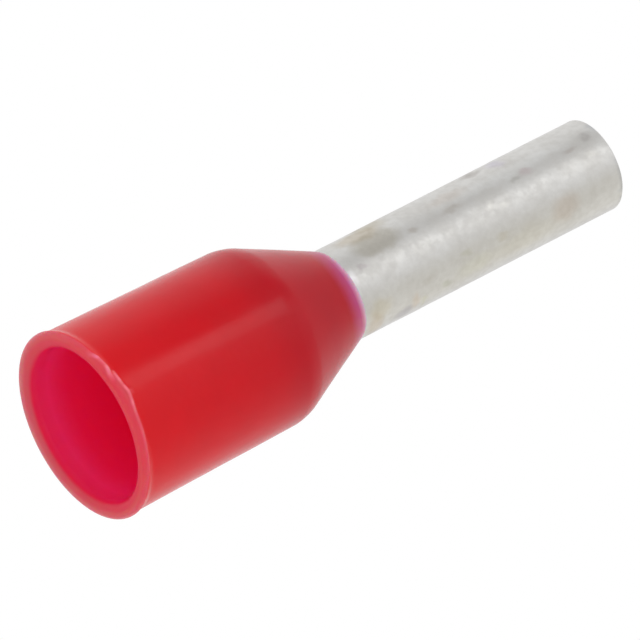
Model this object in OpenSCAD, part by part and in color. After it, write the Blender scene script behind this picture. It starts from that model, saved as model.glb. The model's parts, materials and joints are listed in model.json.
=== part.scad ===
// Insulated wire ferrule for a fine-stranded 1 mm2 conductor, in millimetres.
// A tin-plated tube runs through a moulded collar and ends in a bell that seats on the collar's funnel.
// The origin is the centre of the collar's mouth, and +Z runs along the axis to the tip of the tube.

/* [Overall] */
// Length from the collar's mouth to the tip of the tube
overall_length = 12; // [10:0.5:18]

/* [Tube] */
// Bore of the tube, which takes the stripped strands
tube_bore = 1.48; // [1.4:0.02:1.6]
// Wall of the tube
tube_wall = 0.16; // [0.12:0.01:0.2]
// Diameter over the open end of the bell
bell_width = 2.4; // [2.2:0.05:2.6]
// Radius of the tube's outer surface where the bell bends into the straight tube
bend_radius = 0.3; // [0.1:0.05:0.5]
// Rounding of the tube's cut edges
cut_edge = 0.03; // [0.01:0.01:0.05]

/* [Collar] */
// Length of the collar, from its mouth to its thin end
collar_length = 5.86; // [5.5:0.02:7]
// Length of the barrel, from the mouth to the shoulder
barrel_length = 4.1; // [3.4:0.05:4.4]
// Bore of the barrel, which takes the wire's insulation
wire_bore = 3; // [2.6:0.05:3.4]
// Wall of the barrel at the mouth
barrel_wall = 0.31; // [0.25:0.01:0.4]
// Draft of the barrel's outside, in degrees
barrel_draft = 1; // [0:0.1:2]
// How far the lip round the mouth stands out from the barrel
lip_height = 0.036; // [0.02:0.002:0.06]
// Length of the lip at its full width
lip_length = 0.11; // [0.1:0.01:0.2]
// Distance from the mouth at which the lip has sloped down into the barrel
lip_end = 0.28; // [0.25:0.01:0.5]
// Rounding of the lip's outer edge
rim_edge = 0.09; // [0.04:0.01:0.1]
// Rounding of the mouth's inner edge, which leads the wire in
entry_edge = 0.17; // [0.1:0.01:0.2]
// Radius of the shoulder between barrel and cone
shoulder_radius = 0.9; // [0.3:0.1:1.5]
// Wall of the cone, square to its surface
cone_wall = 0.27; // [0.22:0.01:0.32]
// Radius inside, where the bore turns into the funnel
funnel_radius = 0.5; // [0.1:0.1:0.8]
// Wall of the collar at its thin end
end_wall = 0.015; // [0.01:0.005:0.06]

/* [Drawing] */
// Largest gap between a rounded corner and the straight pieces that draw it
corner_tolerance = 0.0005; // [0.0003:0.0001:0.002]

/* [Hidden] */
$fn = 96;

// Radii of the tube and the collar
tube_inner = tube_bore / 2;
tube_outer = tube_inner + tube_wall;
bell_outer = bell_width / 2;
wire_radius = wire_bore / 2;
mouth_outer = wire_radius + barrel_wall;
lip_outer = mouth_outer + lip_height;
shoulder_outer = mouth_outer - barrel_length * tan(barrel_draft);
end_outer = tube_outer + end_wall;

// The cone's slope, which the funnel inside it and the bell share
cone_angle = atan2(shoulder_outer - end_outer, collar_length - barrel_length);

// Height at which the funnel has a given radius: its wall is cone_wall thick, square to the cone
function funnel_z(r) =
    barrel_length + (shoulder_outer - cone_wall / cos(cone_angle) - r) / tan(cone_angle);

// Height of the corner between two faces at the cone's slope and along the axis, a wall inside the tube's
function bend_z(depth) = funnel_z(tube_outer) - depth * tan(cone_angle / 2);

// One corner of a section, [radius, height, rounding], between its two neighbours, as a list of points
function corner(before, at, after) =
    let (
        p = [at[0], at[1]],
        u = [before[0], before[1]] - p,
        v = [after[0], after[1]] - p,
        ub = u / norm(u),
        vb = v / norm(v),
        half = acos(ub * vb) / 2,
        turn = 180 - 2 * half,
        r = at[2],
        centre = p + (ub + vb) / norm(ub + vb) * r / sin(half),
        steps = r > corner_tolerance ? ceil(turn / (2 * acos(1 - corner_tolerance / r))) : 0,
        first = p + ub * r / tan(half) - centre,
        side = ub[0] * vb[1] - ub[1] * vb[0] > 0 ? -1 : 1
    )
    steps == 0 ? [p] : [
        for (i = [0 : steps])
            let (a = side * turn * i / steps)
            centre + [first[0] * cos(a) - first[1] * sin(a), first[0] * sin(a) + first[1] * cos(a)]
    ];

// A whole section, from its list of corners
function section(corners) =
    let (n = len(corners))
    [for (i = [0 : n - 1]) each corner(corners[(i + n - 1) % n], corners[i], corners[(i + 1) % n])];

// The tube's wall follows one path: straight along the bore, then out along the cone's slope to the bell
tube_corners = [
    [tube_outer, overall_length, cut_edge],
    [tube_inner, overall_length, cut_edge],
    [tube_inner, bend_z(tube_wall), bend_radius + tube_wall],
    [
        bell_outer - tube_wall * cos(cone_angle),
        funnel_z(bell_outer) - tube_wall * sin(cone_angle),
        cut_edge
    ],
    [bell_outer, funnel_z(bell_outer), cut_edge],
    [tube_outer, bend_z(0), bend_radius]
];

// The collar's wall: mouth, lip, barrel, shoulder and cone outside, then grip, funnel and bore inside
collar_corners = [
    [wire_radius, 0, entry_edge],
    [lip_outer, 0, rim_edge],
    [lip_outer, lip_length, lip_length - rim_edge],
    [mouth_outer - lip_end * tan(barrel_draft), lip_end, lip_end],
    [shoulder_outer, barrel_length, shoulder_radius],
    [end_outer, collar_length, end_wall / 2],
    [tube_outer, collar_length, 0],
    [tube_outer, bend_z(0), bend_radius],
    [wire_radius, funnel_z(wire_radius), funnel_radius]
];

// Moulded collar: one piece of red plastic that grips the tube
module insulating_collar() {
    color([0.8, 0.16, 0.18]) rotate_extrude() polygon(section(collar_corners));
}

// Tin-plated copper tube, with its bell seated face to face on the collar's funnel
module tinned_tube() {
    color([0.82, 0.81, 0.79]) rotate_extrude() polygon(section(tube_corners));
}

insulating_collar();
tinned_tube();
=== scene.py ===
# %% [markdown]
# # A wire ferrule, dressed in Blender
# The real thing is 12 mm long: a red moulded collar that takes the wire's insulation, and a
# tin-plated copper tube that takes the bare strands and is crimped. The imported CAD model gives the
# true sizes and the place of everything, so we load it first and build our finer pieces exactly
# where it says.

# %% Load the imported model
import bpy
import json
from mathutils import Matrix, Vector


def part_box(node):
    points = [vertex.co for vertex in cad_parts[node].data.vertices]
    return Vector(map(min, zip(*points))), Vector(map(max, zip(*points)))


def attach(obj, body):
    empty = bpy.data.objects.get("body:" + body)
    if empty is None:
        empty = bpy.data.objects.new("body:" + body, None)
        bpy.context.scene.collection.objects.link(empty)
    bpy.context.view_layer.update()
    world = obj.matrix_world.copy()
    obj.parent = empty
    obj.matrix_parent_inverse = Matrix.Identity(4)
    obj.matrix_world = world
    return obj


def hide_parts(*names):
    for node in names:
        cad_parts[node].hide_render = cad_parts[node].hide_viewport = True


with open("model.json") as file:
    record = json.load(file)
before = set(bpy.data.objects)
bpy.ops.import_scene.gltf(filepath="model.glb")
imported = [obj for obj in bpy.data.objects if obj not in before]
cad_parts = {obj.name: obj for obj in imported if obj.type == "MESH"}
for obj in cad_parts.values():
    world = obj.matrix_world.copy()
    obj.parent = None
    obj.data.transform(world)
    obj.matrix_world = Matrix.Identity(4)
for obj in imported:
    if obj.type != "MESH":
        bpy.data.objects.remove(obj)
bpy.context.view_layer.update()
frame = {"nodes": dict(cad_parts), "record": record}

import json
from math import atan2, cos, degrees, hypot, pi, radians, sin, tan

import bpy
from mathutils import Matrix, Vector, noise

MM = 0.001
print("nodes of the CAD model:", sorted(frame["nodes"]))

# %% [markdown]
# ## The sizes
# A ferrule is all rings round one axis, so a few radii and heights describe it. We could measure
# the CAD meshes, but the record already names the three round fits a user cares about (the wire's
# entry, the tube's bore and the tube's outside), and the boxes give the rest. What neither says,
# such as the shoulder's rounding, is written here once and named. Everything is in millimetres
# until it becomes a mesh.

# %% Radii and heights
mounts = frame["record"]["mounts"]
fits = {mount["name"]: mount["dims"]["r_mm"] for mount in mounts if "r_mm" in mount["dims"]}
wire_radius = fits["wire_entry"]
tube_inner = fits["conductor_barrel"]
tube_outer = fits["tube_outside"]
tube_wall = tube_outer - tube_inner
tip_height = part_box("tinned_tube")[1][2] / MM
collar_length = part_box("insulating_collar")[1][2] / MM
lip_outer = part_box("insulating_collar")[1][0] / MM

lip_height = 0.036               # how far the lip stands out from the barrel
lip_length = 0.10                # length of the lip at its full width
lip_end = 0.21                   # height at which it has sloped down into the barrel
draft = radians(1)
shoulder_height = 4.1
cone_wall = 0.27                 # square to the cone
end_wall = 0.015                 # wall of the collar at its thin end
bell_outer = 1.2
bend_radius = 0.3                # where the tube's outside bends out to the bell
cut_edge = 0.03                  # rounding of the tube's cut edges

barrel_outer = lip_outer - lip_height
lip_foot = barrel_outer - lip_end * tan(draft)
shoulder_outer = barrel_outer - shoulder_height * tan(draft)
end_outer = tube_outer + end_wall
cone_angle = atan2(shoulder_outer - end_outer, collar_length - shoulder_height)


def funnel_height(radius):
    """Height at which the funnel inside the cone has this radius."""
    start = shoulder_outer - cone_wall / cos(cone_angle)
    return shoulder_height + (start - radius) / tan(cone_angle)


def bend_height(depth):
    """Height at which a wall that runs straight along the tube meets the cone's slope."""
    return funnel_height(tube_outer) - depth * tan(cone_angle / 2)


print(f"collar {collar_length:.2f} mm long, {2 * lip_outer:.2f} mm across the mouth,",
      f"cone at {degrees(cone_angle):.1f} degrees, tip at {tip_height:.2f} mm")

# %% [markdown]
# ## The camera
# A camera is a place, a direction and a lens. The ferrule stands on its mouth, and we want to look
# up into that mouth from in front with the axis running off to the upper right, as such a small
# part is usually shown. We could aim with a Track To constraint, but writing the camera's own three
# axes keeps the lean exact: `right` and `up` lie in the picture, and the camera looks along
# `ahead`. A long lens from far away keeps both ends of the ferrule nearly the same size.

# %% Place the camera
axis_tilt = radians(29.67)       # how far the ferrule's axis points away from the picture
axis_lean = radians(27.18)       # how far it climbs to the right in the picture
distance = 300.0
view_width = 11.50               # what the picture covers at that distance
offset_right, offset_up = 4.298, 1.922   # from the centre of the mouth to the centre of the picture

ahead = Vector((0, cos(axis_tilt), sin(axis_tilt)))
steep = Vector((0, -sin(axis_tilt), cos(axis_tilt)))
sideways = Vector((1, 0, 0))
right = steep * cos(axis_lean) + sideways * sin(axis_lean)
up = steep * sin(axis_lean) - sideways * cos(axis_lean)

camera_data = bpy.data.cameras.new("camera")
camera_data.sensor_width = 36
camera_data.lens = camera_data.sensor_width * distance / view_width
camera_data.clip_start = 0.01
camera_data.clip_end = 3
camera = bpy.data.objects.new("camera", camera_data)
bpy.context.scene.collection.objects.link(camera)
camera.location = (right * offset_right + up * offset_up - ahead * distance) * MM
camera.rotation_euler = Matrix((right, up, -ahead)).transposed().to_euler()
bpy.context.scene.camera = camera
print("camera at", [round(number, 4) for number in camera.location], "m,",
      "lens", round(camera_data.lens), "mm")

# %% [markdown]
# ## Walls from rings
# Both pieces are thin walls turned round one axis. We could draw half a section and spin it, but
# pulling a wall up ring by ring is the same thing done by hand and easy to follow: start with a
# circle, extrude its open edge, scale the new ring to the next radius, and go on up the outside and
# back down the inside until the wall meets its own first ring. That last gap is bridged.

# %% Pull a wall along its corners
def pull_wall(name, corners, around):
    """A closed wall of revolution through the corners, up the outside and down the inside."""
    bpy.ops.object.select_all(action="DESELECT")
    radius, height = corners[0][:2]
    bpy.ops.mesh.primitive_circle_add(vertices=around, radius=radius * MM,
                                      location=(0, 0, height * MM))
    piece = bpy.context.active_object
    piece.name = piece.data.name = name
    bpy.ops.object.transform_apply()
    bpy.ops.object.mode_set(mode="EDIT")
    bpy.ops.mesh.select_mode(type="EDGE")
    bpy.ops.mesh.select_all(action="SELECT")
    for corner in corners[1:]:
        next_radius, next_height = corner[:2]
        rise = (next_height - height) * MM
        bpy.ops.mesh.extrude_edges_move(TRANSFORM_OT_translate={"value": (0, 0, rise)})
        grow = next_radius / radius
        bpy.ops.transform.resize(value=(grow, grow, 1), center_override=(0, 0, next_height * MM))
        radius, height = next_radius, next_height
    bpy.ops.mesh.select_all(action="DESELECT")
    bpy.ops.mesh.select_non_manifold()
    bpy.ops.mesh.bridge_edge_loops()
    bpy.ops.mesh.select_all(action="SELECT")
    bpy.ops.mesh.normals_make_consistent(inside=False)
    bpy.ops.object.mode_set(mode="OBJECT")
    print(name, "pulled through", len(corners), "rings:", len(piece.data.polygons), "faces")
    return piece


# %% [markdown]
# To work on one ring or one stretch of wall we have to select it. By hand that is Alt-click on an
# edge loop. In code we pick edges by their place: a ring's edges have both ends at one radius and
# height, and the edges that run along the wall join two different rings.

# %% Select rings and stretches by place
def ring_place(vertex):
    """Radius and height of a vertex in millimetres, rounded so that all of a ring shares them."""
    return round(hypot(vertex.co.x, vertex.co.y) / MM, 3), round(vertex.co.z / MM, 3)


def clear_selection(mesh):
    """Deselect every vertex, edge and face."""
    for parts in (mesh.vertices, mesh.edges, mesh.polygons):
        parts.foreach_set("select", [False] * len(parts))


def round_corners(piece, corners):
    """Bevel the ring at each corner to a true arc, drawn in the given number of steps."""
    mesh = piece.data
    slack = 0.0015               # more than the rounding of a place, less than any wall
    for radius, height, rounding, turn, steps in corners:
        clear_selection(mesh)
        places = [ring_place(vertex) for vertex in mesh.vertices]
        close = [abs(r - radius) < slack and abs(z - height) < slack for r, z in places]
        for edge in mesh.edges:
            edge.select = close[edge.vertices[0]] and close[edge.vertices[1]]
        bpy.ops.object.mode_set(mode="EDIT")
        bpy.ops.mesh.select_mode(type="EDGE")
        bpy.ops.mesh.bevel(offset=rounding * MM * tan(abs(turn) / 2), offset_type="OFFSET",
                           segments=steps, profile=0.5, affect="EDGES", clamp_overlap=False)
        bpy.ops.object.mode_set(mode="OBJECT")
    print(piece.name, "with rounded corners:", len(mesh.polygons), "faces")


def even_out(piece, spacing):
    """Cut every long stretch of wall into rings about spacing(radius, height) apart."""
    mesh = piece.data
    places = [ring_place(vertex) for vertex in mesh.vertices]
    stretches = {}
    for edge in mesh.edges:
        ends = tuple(sorted(places[index] for index in edge.vertices))
        (r0, z0), (r1, z1) = ends
        length = hypot(r1 - r0, z1 - z0)
        cuts = int(length / spacing((r0 + r1) / 2, (z0 + z1) / 2))
        if length > 0.01 and cuts > 0:
            stretches.setdefault(ends, cuts)
    for ends, cuts in stretches.items():
        places = [ring_place(vertex) for vertex in mesh.vertices]
        clear_selection(mesh)
        for edge in mesh.edges:
            edge.select = tuple(sorted(places[index] for index in edge.vertices)) == ends
        bpy.ops.object.mode_set(mode="EDIT")
        bpy.ops.mesh.select_mode(type="EDGE")
        bpy.ops.mesh.subdivide(number_cuts=cuts)
        bpy.ops.object.mode_set(mode="OBJECT")
    print(piece.name, "evened out to", len(mesh.polygons), "faces")


# %% [markdown]
# ## The collar
# The red collar is one injection moulding of polypropylene. A low lip runs round its mouth, whose
# inner edge is well rounded to lead the wire in. The barrel has one degree of draft so that it
# leaves the mould, a soft shoulder turns it into a straight cone, and the cone thins to almost
# nothing on the tube. Inside, a plain bore ends in a funnel that leads to the short grip round the
# tube.

# %% Pull the collar's wall and round its corners
lip_slope = atan2(lip_outer - lip_foot, lip_end - lip_length)
collar_corners = [
    # radius, height, rounding, turn of the wall, steps
    (lip_outer, 0, 0.09, pi / 2, 10),
    (lip_outer, lip_length, 0.03, lip_slope, 3),
    (lip_foot, lip_end, 0.22, lip_slope - draft, 4),
    (shoulder_outer, shoulder_height, 0.9, cone_angle - draft, 16),
    (end_outer, collar_length, 0.009, pi / 2 - cone_angle, 4),
    (tube_outer, collar_length, 0.005, pi / 2, 3),
    (tube_outer, bend_height(0), bend_radius, cone_angle, 6),
    (wire_radius, funnel_height(wire_radius), 0.5, cone_angle, 6),
    (wire_radius, 0, 0.20, pi / 2, 12),
]
collar = pull_wall("moulded_collar", collar_corners, 480)

# both edges of the ring round the mouth go first, while the walls beside them are still whole
round_corners(collar, [collar_corners[0], collar_corners[-1]])
round_corners(collar, collar_corners[1:-1])

# %% [markdown]
# A straight stretch of wall has no vertices between its two ends, so there is nothing to lift, dent
# or paint on it. We cut the long stretches into rings. A Subdivision Surface modifier would do that
# everywhere, and soften our true arcs, so we subdivide only the edges that run along the wall.

# %% Even out the collar's rings
def collar_spacing(radius, height):
    """Rings lie close together at the rim, which carries fine detail, and wider apart above."""
    if height < 0.30:
        return 0.02
    return 0.09 if radius > wire_radius + 0.1 or height > shoulder_height else 0.22


even_out(collar, collar_spacing)

# %% [markdown]
# ## The tube
# The tube is drawn from copper, cut, belled at one end and tin-plated. Its bell opens against the
# collar's funnel and stops it from being pulled out. The wall keeps one thickness all the way, so
# the inner corner of the bell is the outer one moved inward by that thickness.

# %% Pull the tube's wall and round its corners
bell_height = funnel_height(bell_outer)
tube_corners = [
    # radius, height, rounding, turn of the wall, steps
    (bell_outer, bell_height, cut_edge, pi / 2, 4),
    (tube_outer, bend_height(0), bend_radius, cone_angle, 6),
    (tube_outer, tip_height, cut_edge, pi / 2, 5),
    (tube_inner, tip_height, cut_edge, pi / 2, 5),
    (tube_inner, bend_height(tube_wall), bend_radius + tube_wall, cone_angle, 8),
    (bell_outer - tube_wall * cos(cone_angle), bell_height - tube_wall * sin(cone_angle),
     cut_edge, pi / 2, 4),
]
tube = pull_wall("drawn_tube", tube_corners, 288)
round_corners(tube, tube_corners)

# %% [markdown]
# The tube gets its rings in the same way. Most of it is seen from close by, but its bell is hidden
# in the collar and its bore is dark, so those stay coarse.

# %% Even out the tube's rings
def tube_spacing(radius, height):
    """Rings lie closer on the outside, which shows its plating from close by, than in the bore."""
    if height < collar_length - 0.2:
        return 0.2
    return 0.06 if radius > tube_outer - 0.01 else 0.25


even_out(tube, tube_spacing)

# %% [markdown]
# ## Numbers on the surface
# Some things follow the surface and not space: where the inside begins, where flash runs, where a
# film dried. We keep such things as named numbers on the vertices. A material reads them through an
# Attribute node, and a modifier reads them as a vertex group. Angles go round the axis: 0 faces the
# front (-Y), and positive turns toward -X.

# %% Store a number on every vertex
def place_of(vertex):
    """Angle, radius and height of a vertex, in degrees and millimetres."""
    x, y, z = vertex.co / MM
    return degrees(atan2(-x, -y)), hypot(x, y), z


def paint(piece, name, amount):
    """amount(angle, radius, height) gives each vertex its number."""
    layer = piece.data.attributes.new(name, "FLOAT", "POINT")
    values = [amount(*place_of(vertex)) for vertex in piece.data.vertices]
    layer.data.foreach_set("value", values)
    print(f"{piece.name}: {name} from {min(values):.2f} to {max(values):.2f}")


def fade(value, start, end):
    """0 before start, 1 after end, and a smooth step between."""
    share = min(max((value - start) / (end - start), 0), 1)
    return share * share * (3 - 2 * share)


def between(table, place):
    """The numbers at a place, taken between the two rows of a table on either side of it."""
    for (start, *low), (end, *high) in zip(table, table[1:]):
        if start <= place <= end:
            share = (place - start) / (end - start)
            return [a + (b - a) * share for a, b in zip(low, high)]
    return [0.0] * (len(table[0]) - 1)


# %% [markdown]
# ## Flash on the rim
# Where two halves of a mould meet, a little plastic creeps between them. On this ferrule it stands
# round the front of the rim as two thin torn ridges, whose ends pass each other a little to the
# left of the middle. A table for each says how far from the mouth the ridge runs at each angle and
# how strong it is. The weights go into a vertex group, and a Displace modifier lifts the wall by
# them, which is how one would do it by hand with the weight brush. Stretched plastic also turns
# milky, and the ridges are painted paler still as painted glints, so the same weights are kept on
# the vertices for the colour.

# %% Raise two ridges of flash
flash_lines = [
    [   # angle, height, strength of the ridge in front
        (-64, 0.045, 0.00), (-50, 0.060, 0.10), (-38, 0.085, 0.12), (-30, 0.100, 0.20), (-24, 0.112, 0.35),
        (-18, 0.124, 0.45), (-12, 0.130, 0.35), (-7, 0.135, 0.55), (-4, 0.146, 0.85), (-1, 0.163, 1.35),
        (1.5, 0.185, 0.85), (4, 0.204, 0.95), (6, 0.208, 1.25), (8.5, 0.188, 1.40), (10.5, 0.175, 0.80),
        (12, 0.167, 0.95), (14, 0.161, 1.55), (16, 0.157, 1.15), (18, 0.155, 1.00), (19.5, 0.153, 0.70),
        (21, 0.150, 0.00),
    ],
    [   # the ridge to the left of it, which ends lower down
        (14, 0.058, 0.00), (17, 0.062, 0.50), (19.5, 0.068, 1.10), (21.5, 0.084, 1.45), (23.5, 0.100, 1.55),
        (25.5, 0.104, 0.75), (28, 0.098, 0.75), (30, 0.090, 0.80), (32, 0.082, 1.55), (34, 0.064, 0.90),
        (36.5, 0.042, 0.45), (40, 0.050, 0.15), (46, 0.060, 0.10), (56, 0.050, 0.06), (66, 0.040, 0.00),
    ],
]


def flash_near(angle):
    """Height and strength of both ridges at an angle, the stronger one first."""
    return sorted((between(line, angle) for line in flash_lines), key=lambda found: -found[1])


def ridge(angle, radius, height):
    """How much a place belongs to the flash: its strength on a ridge's line, nothing beside it."""
    if radius < lip_outer - 0.12 or height > 0.32:
        return 0.0
    return max(strength * (1 - fade(abs(height - line), 0.008, 0.056))
               for line, strength in flash_near(angle))


def raise_where(piece, name, amount, lift):
    """Lift a piece along its normals by amount(angle, radius, height) times lift millimetres."""
    group = piece.vertex_groups.new(name=name)
    for vertex in piece.data.vertices:
        weight = amount(*place_of(vertex))
        if weight > 0:
            group.add([vertex.index], min(weight, 1.0), "REPLACE")
    lifting = piece.modifiers.new(name, "DISPLACE")
    lifting.vertex_group = name
    lifting.mid_level = 0.0
    lifting.strength = lift * MM
    bpy.context.view_layer.objects.active = piece
    bpy.ops.object.modifier_apply(modifier=name)
    piece.vertex_groups.clear()
    print(f"{piece.name}: {name} raised by up to {lift} mm")


paint(collar, "flash", ridge)
raise_where(collar, "flash_lift", ridge, 0.014)

# %% [markdown]
# ## Small faults of a real part
# A cut tube gets knocked about in its bag, and a collar's thin end is too thin to come out of the
# mould quite square. Such marks are what the eye reads as real. A sculpting brush would do, but a
# proportional move is the same thing under control: one vertex is pulled, and its neighbours follow
# it less and less out to a given reach.

# %% Pull a spot of a wall
def spot(angle, radius, height):
    """A place on or in the wall, as a point in metres."""
    turn = radians(angle)
    return Vector((-sin(turn) * radius, -cos(turn) * radius, height)) * MM


def nudge(piece, angle, radius, height, outward, along, reach):
    """Pull the wall at one place outward and along the axis, in millimetres, out to the reach."""
    place = spot(angle, radius, height)
    mesh = piece.data
    clear_selection(mesh)
    nearest = min(mesh.vertices, key=lambda vertex: (vertex.co - place).length_squared)
    nearest.select = True
    bpy.ops.object.mode_set(mode="EDIT")
    bpy.ops.mesh.select_mode(type="VERT")
    move = spot(angle, outward, along)
    bpy.ops.transform.translate(value=move, use_proportional_edit=True,
                                use_proportional_connected=True,
                                proportional_edit_falloff="SMOOTH", proportional_size=reach * MM)
    bpy.ops.object.mode_set(mode="OBJECT")


# %% [markdown]
# The tube has a dent near its middle, with the tin pushed up beside it, and a nick where it leaves
# the collar. The collar's thin end reaches a little further along the tube to the right of the
# front than elsewhere.

# %% Knocks on the tube, and a thin end a little askew
askew_angle, askew = -45, 0.040
nudge(tube, 72, tube_outer, 9.45, -0.030, 0, 0.22)
nudge(tube, 74, tube_outer, 9.20, 0.016, 0, 0.16)
nudge(tube, 9, tube_outer, 6.02, 0.010, 0, 0.07)
nudge(collar, askew_angle, end_outer, collar_length, 0, askew, 1.4)
print(f"tube: a dent and a nick; collar: its thin end {askew} mm askew")

# %% [markdown]
# No moulding and no drawn tube is perfectly even. A Displace modifier with a soft cloud texture
# lifts and lowers the surface by a few thousandths of a millimetre, which the eye only sees as slow
# changes in the reflections. Applied, it becomes part of the mesh, so it also reaches anyone who
# uses the mesh alone.

# %% A few microns of waviness
def make_wavy(piece, size, depth):
    """Lift and lower the surface by half of depth, in swells about size across."""
    clouds = bpy.data.textures.new(piece.name + "_waves", type="CLOUDS")
    clouds.noise_scale = size * MM
    clouds.noise_depth = 1
    waves = piece.modifiers.new("waves", "DISPLACE")
    waves.texture = clouds
    waves.texture_coords = "LOCAL"
    waves.mid_level = 0.5
    waves.strength = depth * MM
    bpy.context.view_layer.objects.active = piece
    bpy.ops.object.modifier_apply(modifier=waves.name)
    print(piece.name, "wavy by", depth, "mm")


make_wavy(collar, 0.9, 0.006)
make_wavy(tube, 0.5, 0.008)

# %% [markdown]
# Flat shading would show every face, and smooth shading alone would blur the tube's cut edges. So
# faces that meet at less than fifty degrees are shaded as one surface, and sharper edges stay
# sharp.

# %% Shade the finished shapes
def finish_shape(piece):
    """Shade a piece smooth, apart from its sharp edges."""
    bpy.ops.object.select_all(action="DESELECT")
    piece.select_set(True)
    bpy.context.view_layer.objects.active = piece
    bpy.ops.object.shade_smooth_by_angle(angle=radians(50))
    print(piece.name, "has", len(piece.data.polygons), "faces")


finish_shape(collar)
finish_shape(tube)

# %% [markdown]
# ## Painting the collar
# Red is not one colour on this part. The bore is painted a brighter crimson, a painted glow of light
# coming through the wall, and pinker on its far side near the mouth as more painted glow. The ring
# round the mouth is paler than the barrel, with a painted highlight on its rounded outer edge and a
# painted reflection that makes it palest and greyest at the back. The rounded edge where the ring
# turns into the bore is duller and carries painted shade. Up at the other end the plastic is so thin
# that it is painted crimson and frosty, partly its own paleness and partly a painted glow of light
# through it, most clearly at the front. Each of these gets its own name on the vertices.

# %% Paint the collar
def insideness(angle, radius, height):
    """1 on the walls of the bore and the funnel, 0 outside."""
    if height < shoulder_height:
        near_bore = 1 - fade(radius, wire_radius + 0.17, wire_radius + 0.20)
        return near_bore * fade(height, -0.08, 0.35)
    outside = shoulder_outer - (height - shoulder_height) * tan(cone_angle)
    return 1 - fade(radius, outside - 0.20, outside - 0.10)


def far_side(angle):
    """0 at the front of the collar and 1 at its back."""
    return 0.5 - 0.5 * cos(radians(angle + 5))


def glow(angle, radius, height):
    """Painted glow, strongest on the wall of the bore that faces the front, near the mouth."""
    return far_side(angle) ** 2 * (1 - fade(height, 0.25, 0.9))


def rim_and_highlight_share(angle, radius, height):
    """Paler red, a little on the flat ring and all of it on the rounded outer edge, where it is a painted
    highlight; gone beyond the flash.
    """
    line = flash_near(angle)[0][0] or 0.06
    rounded = fade(height, -0.015, 0.02) * fade(radius, lip_outer - 0.14, lip_outer - 0.08)
    edge = 0.42 + 0.58 * rounded
    ring = fade(radius, wire_radius + 0.08, wire_radius + 0.21)
    return edge * ring * (1 - fade(height, line, line + 0.05))


def back_reflection_share(angle, radius, height):
    """A painted reflection that makes the ring palest and greyest at the back."""
    share = 0.55 + 0.45 * fade(radius, wire_radius + 0.12, lip_outer - 0.04)
    return share * far_side(angle) ** 1.6 * (1 - fade(height, 0.03, 0.10))


def mouth_edge(angle, radius, height):
    """The rounded inner edge of the mouth, which is duller than the rest and painted darker as shade."""
    near_bore = 1 - fade(radius, wire_radius + 0.18, wire_radius + 0.22)
    return near_bore * (1 - fade(height, 0.10, 0.40))


def facing(angle, radius, height):
    """1 at the front of the collar, and 0 from its sides to its back."""
    return 1 - fade(abs(angle - 5), 10, 85)


def thin_end(angle, radius, height):
    """The last tenth of a millimetre, which follows the end where it stands askew; its frosty colour is
    partly a painted glow, strongest at the front.
    """
    reach = 0.035 * (0.5 + 0.5 * cos(radians(angle - askew_angle)))
    end = collar_length + reach
    front = facing(angle, radius, height)
    return (0.45 + 0.55 * front) * fade(height, end - 0.10 - 0.06 * front, end + 0.01)


collar_paint = {"inside": insideness, "glow": glow, "rim": rim_and_highlight_share, "pale": back_reflection_share,
                "mouth_edge": mouth_edge, "facing": facing, "thin": thin_end}
for name, amount in collar_paint.items():
    paint(collar, name, amount)

# %% [markdown]
# Plated tin tarnishes in patches: olive where a film has dried on it, tan where the plating is
# thin, grey in a dent. Each patch below is a soft spot with a place, a size and a tint that the
# metal's colour is multiplied by. Tints above one are no tarnish: they brighten the metal as painted
# glints and a painted highlight. A little noise moves the spot's edge about, so that none looks
# like a round stamp.

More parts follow.
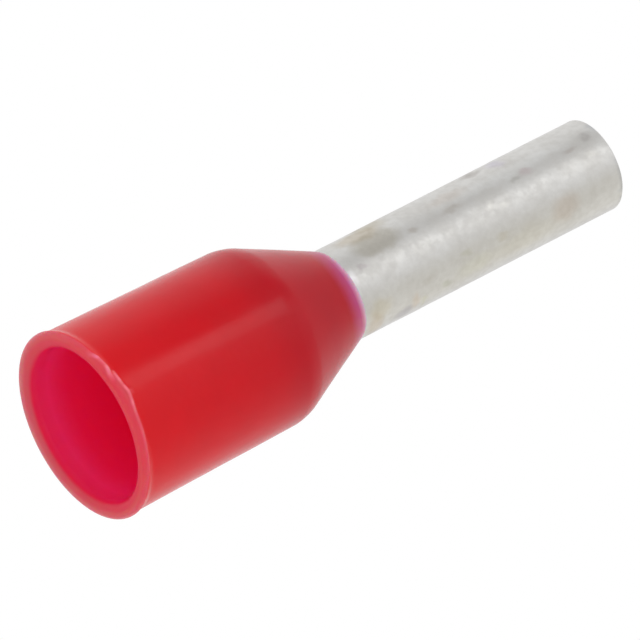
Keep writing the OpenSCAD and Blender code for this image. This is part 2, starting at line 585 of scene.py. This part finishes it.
# %% Tarnish and painted glints on the tube
tarnish = [
    # height, angle, half length, half angle, edge softness, tint
    (6.78, 38, 0.50, 17, 0.5, (0.84, 0.82, 0.77)), (6.62, 62, 0.42, 14, 0.7, (0.88, 0.83, 0.75)),
    (7.05, 78, 0.30, 20, 0.9, (0.88, 0.85, 0.78)), (7.53, 29, 0.09, 4, 0.8, (0.86, 0.83, 0.80)),
    (8.45, 30, 0.22, 4, 0.9, (0.90, 0.88, 0.86)), (9.95, 28, 0.12, 4, 0.8, (0.87, 0.87, 0.86)),
    (10.22, 30, 0.12, 5, 0.9, (0.95, 0.89, 0.91)), (11.25, 28, 0.13, 4, 0.8, (0.89, 0.86, 0.85)),
    (11.72, 36, 0.11, 7, 0.8, (0.84, 0.83, 0.83)), (9.43, 71, 0.20, 10, 0.6, (0.80, 0.78, 0.77)),
    (9.95, 66, 0.14, 12, 0.9, (0.94, 0.92, 1.00)), (10.65, -32, 0.30, 15, 0.9, (0.93, 0.88, 0.84)),
    (8.32, -26, 0.11, 4, 0.8, (0.93, 0.93, 0.88)), (9.17, -27, 0.12, 4, 0.8, (0.93, 0.91, 0.86)),
    (7.38, -34, 0.11, 5, 0.9, (0.93, 0.92, 0.90)), (7.80, -52, 0.12, 5, 0.8, (0.90, 0.91, 0.86)),
    (8.45, -46, 0.35, 12, 1.0, (0.98, 0.98, 0.93)), (9.60, -45, 0.80, 14, 1.0, (0.99, 0.98, 0.94)),
    (7.10, -56, 0.08, 12, 0.8, (1.00, 0.94, 0.88)), (7.30, -62, 0.07, 9, 0.8, (0.96, 0.96, 0.87)),
    (6.85, -67, 0.20, 9, 0.7, (0.84, 0.83, 0.86)), (6.15, -64, 0.18, 20, 0.8, (0.93, 0.87, 0.80)),
    (6.25, -40, 0.25, 12, 0.9, (0.95, 0.92, 0.84)), (6.22, 15, 0.12, 4, 0.7, (0.88, 0.85, 0.87)),
    (8.60, 48, 0.40, 9, 1.0, (0.97, 0.94, 0.92)), (11.96, -35, 0.03, 30, 0.8, (0.84, 0.85, 0.87)),
    # tints above one here brighten the metal as painted glints and a painted highlight
    (11.95, 45, 0.05, 10, 0.9, (0.88, 0.90, 0.93)), (9.15, 12, 0.07, 3, 0.9, (1.12, 1.12, 1.11)),
    (8.07, 3, 0.05, 4, 0.9, (1.10, 1.10, 1.10)), (8.80, 11, 0.10, 3, 0.9, (1.08, 1.08, 1.08)),
    (9.45, 6, 0.09, 3, 0.9, (1.08, 1.08, 1.07)), (11.60, 11, 0.12, 4, 0.9, (1.08, 1.08, 1.07)),
    (9.80, 40, 1.50, 7, 1.0, (1.07, 1.08, 1.09)), (5.94, 11, 0.06, 11, 0.9, (1.16, 1.16, 1.20)),
]


def shifted(angle, height, size, amount):
    """Noise between -amount and amount at a place on the tube."""
    return amount * noise.noise(spot(angle, tube_outer, height) / (size * MM))


def tint_at(angle, radius, height):
    """The tint of a place on the tube from tarnish, a warmer side and painted glints; white elsewhere, and
    always white out of sight.
    """
    tint = [1.0, 1.0, 1.0]
    if radius < tube_outer - 0.05 or height < collar_length - 0.2:
        return tint
    # the side from -5 to -85 degrees is tinted warmer
    warm = fade(-angle, 5, 30) * (1 - fade(-angle, 55, 85))
    for channel, amount in enumerate((0.0, 0.012, 0.055)):
        tint[channel] -= amount * warm
    height += shifted(angle, height, 0.12, 0.045)
    angle += shifted(angle + 40, height, 0.16, 5.0)
    for at_height, at_angle, half_length, half_angle, softness, shade in tarnish:
        away = hypot((height - at_height) / half_length, (angle - at_angle) / half_angle)
        share = 1 - fade(away, 1 - softness * 0.6, 1 + softness * 0.6)
        for channel in range(3):
            tint[channel] *= 1 + (shade[channel] - 1) * share
    return tint


layer = tube.data.attributes.new("tarnish", "FLOAT_COLOR", "POINT")
tints = []
for vertex in tube.data.vertices:
    tints.extend(tint_at(*place_of(vertex)))
    tints.append(1.0)
layer.data.foreach_set("color", tints)
print("tube:", len(tarnish), "patches of tarnish")

# %% [markdown]
# ## Materials in a few words of node code
# A node material is a graph: boxes with sockets, joined by links. These two helpers add a box with
# its settings and join it up in one line, so that the materials below read like recipes.

# %% Node helpers
class Recipe:
    """One material's node graph."""

    def __init__(self, tree):
        self.tree = tree

    def add(self, kind, inputs=None, **settings):
        """A node. Its inputs are numbers, colours or other nodes' outputs."""
        node = self.tree.nodes.new(kind)
        for name, value in settings.items():
            setattr(node, name, value)
        for socket, value in (inputs or {}).items():
            if isinstance(value, bpy.types.NodeSocket):
                self.tree.links.new(value, node.inputs[socket])
            else:
                node.inputs[socket].default_value = value
        return node

    def math(self, operation, first, second=0.0, third=0.0, clamp=False):
        """One step of arithmetic."""
        return self.add("ShaderNodeMath", {0: first, 1: second, 2: third},
                        operation=operation, use_clamp=clamp).outputs[0]

    def step(self, value, start, end, low=0.0, high=1.0):
        """A smooth change from low to high as value goes from start to end."""
        ends = {"From Min": start, "From Max": end, "To Min": low, "To Max": high}
        return self.add("ShaderNodeMapRange", {"Value": value, **ends},
                        interpolation_type="SMOOTHSTEP").outputs["Result"]

    def mix(self, share, first, second, blend="MIX"):
        """The first colour, and share of the second over it."""
        node = self.add("ShaderNodeMix", data_type="RGBA", blend_type=blend)
        sockets = (node.inputs[0], node.inputs[6], node.inputs[7])    # its factor and two colours
        for socket, value in zip(sockets, (share, first, second)):
            if isinstance(value, bpy.types.NodeSocket):
                self.tree.links.new(value, socket)
            else:
                socket.default_value = value
        return node.outputs[2]

    def noise(self, place, size, detail=2.0, roughness=0.5, stretch=(1, 1, 1)):
        """Noise whose blobs are about size millimetres across, stretched along an axis if asked."""
        scale = [1 / (size * MM * part) for part in stretch]
        moved = self.add("ShaderNodeMapping", {"Vector": place, "Scale": scale})
        inputs = {"Vector": moved.outputs[0], "Scale": 1.0}
        inputs.update({"Detail": detail, "Roughness": roughness})
        return self.add("ShaderNodeTexNoise", inputs).outputs[0]

    def bump(self, height, depth, below=None):
        """Relief of about depth millimetres, over the relief below it."""
        inputs = {"Height": height, "Strength": 1.0, "Distance": depth * MM}
        if below is not None:
            inputs["Normal"] = below
        return self.add("ShaderNodeBump", inputs).outputs[0]


def new_material(name):
    """An empty material and the recipe that fills it."""
    material = bpy.data.materials.new(name)
    material.use_nodes = True
    material.node_tree.nodes.clear()
    return material, Recipe(material.node_tree)


# %% [markdown]
# ## Red polypropylene
# The collar's plastic is smooth from the mould but not polished, and it lets light in a little way.
# Red light travels furthest in red plastic. That is why the thin wall glows crimson from inside,
# and why a plain red surface never looks right. Subsurface scattering does part of this, and the
# glow inside the bore and at the thin end is also painted into the colour. The colour is painted
# deeper toward the cone as painted shade, where the tube behind the wall keeps the light out. At the
# thin end the light has no room to spread, so the scattering gets short there, and the colour is
# painted crimson and frosty, partly as a painted glow.
# The roughness stays under 0.27 all over, because a denoiser may take rougher plastic for a matte
# surface, and the border between the two would show as a line.

# %% The collar's plastic
plastic, recipe = new_material("red_polypropylene")
place = recipe.add("ShaderNodeTexCoord").outputs["Object"]
height = recipe.add("ShaderNodeSeparateXYZ", {0: place}).outputs[2]
painted = {}
for name in (*collar_paint, "flash"):
    painted[name] = recipe.add("ShaderNodeAttribute", attribute_name=name).outputs["Fac"]

mouth_red = (0.655, 0.0035, 0.0110, 1)
shoulder_red = (0.615, 0.0035, 0.0110, 1)
neck_shade_red = (0.475, 0.0035, 0.0125, 1)
end_glow_red = (0.53, 0.082, 0.25, 1)
old_red = (0.42, 0.004, 0.008, 1)
rim_and_highlight_red = (0.62, 0.060, 0.086, 1)
back_reflection_grey = (0.42, 0.20, 0.205, 1)
shaded_red = (0.56, 0.012, 0.070, 1)
inner_glow_red = (0.93, 0.018, 0.140, 1)
glow_red = (0.93, 0.050, 0.250, 1)
milky_glint_red = (0.98, 0.275, 0.34, 1)
frost_and_glow_red = (0.92, 0.56, 0.69, 1)

# darker from the mouth to the shoulder, and painted shade over the cone, where the tube behind the wall
# keeps the light out
red = recipe.mix(recipe.step(height, 1.0 * MM, 3.2 * MM), mouth_red, shoulder_red)
red = recipe.mix(recipe.step(height, 2.9 * MM, 4.2 * MM), red, neck_shade_red)
# the thin end painted crimson, partly its own colour and partly a painted glow, more at the front
thinning = recipe.step(height, (collar_length - 0.50) * MM, (collar_length - 0.05) * MM)
toward_front = recipe.math("MULTIPLY_ADD", painted["facing"], 0.55, 0.45)
red = recipe.mix(recipe.math("MULTIPLY", thinning, toward_front), red, end_glow_red)
swirl = recipe.noise(place, 0.7, detail=3)
red = recipe.mix(recipe.step(swirl, 0.35, 0.7, 0.0, 0.10), red, old_red)
# paler ring, with a painted highlight on its rounded outer edge
red = recipe.mix(painted["rim"], red, rim_and_highlight_red)
# painted glow: the bore painted a brighter crimson, and pinker on its far side near the mouth
red = recipe.mix(painted["inside"], red, recipe.mix(painted["glow"], inner_glow_red, glow_red))
# painted shade on the rounded inner edge of the mouth
red = recipe.mix(recipe.math("MULTIPLY", painted["mouth_edge"], 0.33), red, shaded_red)
# painted reflection: the ring painted paler and greyer toward the back
red = recipe.mix(painted["pale"], red, back_reflection_grey)
# milky stretched flash, painted paler still as painted glints
red = recipe.mix(recipe.math("MULTIPLY", painted["flash"], 0.55), red, milky_glint_red)
# the thin end painted frosty, partly its own paleness and partly a painted glow
red = recipe.mix(painted["thin"], red, frost_and_glow_red)

grain = recipe.noise(place, 0.035, detail=2)
peel = recipe.noise(place, 0.30, detail=1)
relief = recipe.bump(peel, 0.004)
relief = recipe.bump(grain, 0.0006, relief)
gloss = recipe.step(swirl, 0.3, 0.7, 0.19, 0.235)
gloss = recipe.math("ADD", gloss, recipe.step(height, 0.2 * MM, 2.2 * MM, 0.035, 0.0))
gloss = recipe.math("ADD", gloss, recipe.step(height, 2.6 * MM, 3.8 * MM, 0.0, 0.033))
shine = recipe.step(painted["mouth_edge"], 0.0, 1.0, 0.25, 0.07)
scatter = recipe.step(height, (collar_length - 0.9) * MM, (collar_length - 0.2) * MM,
                      1.0 * MM, 0.12 * MM)

surface = recipe.add("ShaderNodeBsdfPrincipled", {
    "Base Color": red,
    "Roughness": gloss,
    "Specular IOR Level": shine,
    "Subsurface Weight": 1.0,
    "Subsurface Radius": (1.0, 0.05, 0.30),
    "Subsurface Scale": scatter,
    "Normal": relief,
})
recipe.add("ShaderNodeOutputMaterial", {"Surface": surface.outputs[0]})
print("plastic:", len(plastic.node_tree.nodes), "nodes")

# %% [markdown]
# ## Tin on copper
# Plated tin is soft grey-white and never a mirror: it spreads reflections wide, has faint lines
# from drawing the tube, and gets patchy where the plating is thin or the fingers of a machine have
# touched it. So it is a metal with medium roughness, whose colour, roughness and relief all vary a
# little at their own scales.

# %% The tube's plating
tin, recipe = new_material("plated_tin")
place = recipe.add("ShaderNodeTexCoord").outputs["Object"]
patchy = recipe.noise(place, 0.55, detail=4, roughness=0.6)
fine = recipe.noise(place, 0.12, detail=3)
lines = recipe.noise(place, 0.05, detail=2, stretch=(1, 1, 30))

warm_tin = (0.725, 0.713, 0.688, 1)
white_tin = (0.762, 0.754, 0.735, 1)
grey_tin = (0.50, 0.48, 0.45, 1)
tarnish_and_glint_tint = recipe.add("ShaderNodeAttribute", attribute_name="tarnish").outputs["Color"]
colour = recipe.mix(recipe.step(patchy, 0.35, 0.65), warm_tin, white_tin)
colour = recipe.mix(recipe.step(fine, 0.3, 0.7, 0.0, 0.10), colour, grey_tin)
colour = recipe.mix(1.0, colour, tarnish_and_glint_tint, blend="MULTIPLY")
relief = recipe.bump(patchy, 0.010)
relief = recipe.bump(lines, 0.0012, relief)
relief = recipe.bump(fine, 0.0015, relief)
dullness = recipe.step(fine, 0.3, 0.7, 0.46, 0.56)

surface = recipe.add("ShaderNodeBsdfPrincipled", {
    "Base Color": colour,
    "Metallic": 1.0,
    "Roughness": dullness,
    "Normal": relief,
})
recipe.add("ShaderNodeOutputMaterial", {"Surface": surface.outputs[0]})
print("tin:", len(tin.node_tree.nodes), "nodes")

# %% [markdown]
# ## Dress the CAD nodes
# Each new piece stands in for a CAD node: the node stays in the physics, the piece is what shows.
# Both ride on the one body of a part that has no joints.

# %% Put the pieces in place of the nodes
for piece, material, node, slot in ((collar, plastic, "insulating_collar", "collar_plastic"),
                                    (tube, tin, "tinned_tube", "tube_tin")):
    piece.data.materials.clear()
    piece.data.materials.append(material)
    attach(piece, "root")
    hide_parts(node)
    print(piece.name, "stands for", node)

# %% [markdown]
# ## The studio
# Small shiny parts are photographed in a white tent. What models their shape is not the light
# itself but what they mirror: white all round, and a few grey cards that draw soft darker bands
# along them. The tent is the world's colour. Its cards show only to reflections, so the background
# stays plain white.

# %% A white tent with grey cards
world = bpy.data.worlds.new("tent")
world.use_nodes = True
world.node_tree.nodes.clear()
bpy.context.scene.world = world
recipe = Recipe(world.node_tree)
ray = recipe.add("ShaderNodeLightPath").outputs
direction = recipe.add("ShaderNodeTexCoord").outputs["Object"]
parts = recipe.add("ShaderNodeSeparateXYZ", {0: direction}).outputs
leftward = recipe.math("MULTIPLY", parts[0], -1.0)
frontward = recipe.math("MULTIPLY", parts[1], -1.0)
turn = recipe.math("ARCTAN2", leftward, frontward)
place_on_ramp = recipe.math("MULTIPLY_ADD", turn, 1 / (2 * pi), 0.5)
cards = recipe.add("ShaderNodeValToRGB", {0: place_on_ramp})
card_tones = [
    # degrees round the axis, tone
    (-180, 0.90), (-115, 0.90), (-80, 0.81), (-55, 0.67), (-32, 0.69), (-14, 0.86), (0, 1.00),
    (12, 1.06), (25, 0.99), (34, 0.46), (60, 0.45), (82, 0.83), (100, 0.94), (180, 0.96),
]
roof_tone, ground_tone = 0.65, 0.75
ramp = cards.color_ramp
while len(ramp.elements) < len(card_tones):
    ramp.elements.new(0.5)
for element, (angle, tone) in zip(ramp.elements, card_tones):
    element.position = angle / 360 + 0.5
    element.color = (tone, tone, tone, 1)
tone = recipe.add("ShaderNodeRGBToBW", {0: cards.outputs[0]}).outputs[0]
tone = recipe.step(parts[2], 0.84, 0.98, tone, roof_tone)
tone = recipe.step(parts[2], -0.15, 0.1, ground_tone, tone)
darker = recipe.math("MULTIPLY", recipe.math("SUBTRACT", 1.0, tone), ray["Is Glossy Ray"])
seen = recipe.math("ADD", ray["Is Camera Ray"], ray["Is Glossy Ray"])
seen = recipe.math("ADD", seen, ray["Is Transmission Ray"], clamp=True)
tent_light = 0.85
level = recipe.math("MULTIPLY_ADD", seen, 1.0 - tent_light, tent_light)
level = recipe.math("MULTIPLY", level, recipe.math("SUBTRACT", 1.0, darker))
background = recipe.add("ShaderNodeBackground", {"Color": (1, 1, 1, 1), "Strength": level})
recipe.add("ShaderNodeOutputWorld", {"Surface": background.outputs[0]})
print("tent with", len(card_tones), "tones round it")

# %% [markdown]
# One rectangular soft box stands high in front, a little to the left. It makes the bright band
# along the barrel and the tube, and its edges are the edges of that band.

# %% The soft box
lamp_way = Vector((-0.302, -0.815, 0.495))
lamp_distance, lamp_width, lamp_height = 0.25, 0.068, 0.089
lamp_glow = 1.15                 # how much brighter than white paper it looks in a mirror
lamp_data = bpy.data.lights.new("soft_box", "AREA")
lamp_data.shape = "RECTANGLE"
lamp_data.size, lamp_data.size_y = lamp_width, lamp_height
lamp_data.energy = lamp_glow * pi * lamp_width * lamp_height
lamp = bpy.data.objects.new("soft_box", lamp_data)
bpy.context.scene.collection.objects.link(lamp)
lamp.location = lamp_way * lamp_distance
lamp.rotation_euler = lamp_way.to_track_quat("Z", "Y").to_euler()
print("soft box", lamp_width, "by", lamp_height, "m,", round(lamp_data.energy, 4), "W")

# %% [markdown]
# ## The floor
# The ferrule stands on a pale floor, and our camera looks up at it through that floor. So the floor
# has one side only: from above it is a plain surface that takes the shadow, and from below, or for
# any light that crosses it, it isn't there. Away from the ferrule it melts into the white
# background.

# %% A one-sided floor
bpy.ops.object.select_all(action="DESELECT")
bpy.ops.mesh.primitive_grid_add(x_subdivisions=8, y_subdivisions=8, size=1.2, location=(0, 0, 0))
floor_plane = bpy.context.active_object
floor_plane.name = "floor"
paper, recipe = new_material("pale_paper")
place = recipe.add("ShaderNodeTexCoord").outputs["Object"]
reach = recipe.add("ShaderNodeVectorMath", {0: place}, operation="LENGTH").outputs["Value"]
fibres = recipe.noise(place, 0.8, detail=3)
pale = recipe.mix(fibres, (0.93, 0.93, 0.93, 1), (0.97, 0.97, 0.97, 1))
matte = recipe.add("ShaderNodeBsdfDiffuse", {"Color": pale})
white = recipe.add("ShaderNodeEmission", {"Color": (1, 1, 1, 1), "Strength": 1.0})
melting = recipe.step(reach, 12 * MM, 60 * MM)
sweep = recipe.add("ShaderNodeMixShader", {0: melting, 1: matte.outputs[0], 2: white.outputs[0]})
backside = recipe.add("ShaderNodeNewGeometry").outputs["Backfacing"]
front = recipe.math("SUBTRACT", 1.0, backside)
camera_ray = recipe.add("ShaderNodeLightPath").outputs["Is Camera Ray"]
there = recipe.math("MULTIPLY", front, camera_ray)
gone = recipe.add("ShaderNodeBsdfTransparent")
one_sided = recipe.add("ShaderNodeMixShader", {0: there, 1: gone.outputs[0], 2: sweep.outputs[0]})
recipe.add("ShaderNodeOutputMaterial", {"Surface": one_sided.outputs[0]})
floor_plane.data.materials.append(paper)
bpy.context.scene.view_settings.view_transform = "Standard"
print("floor laid")
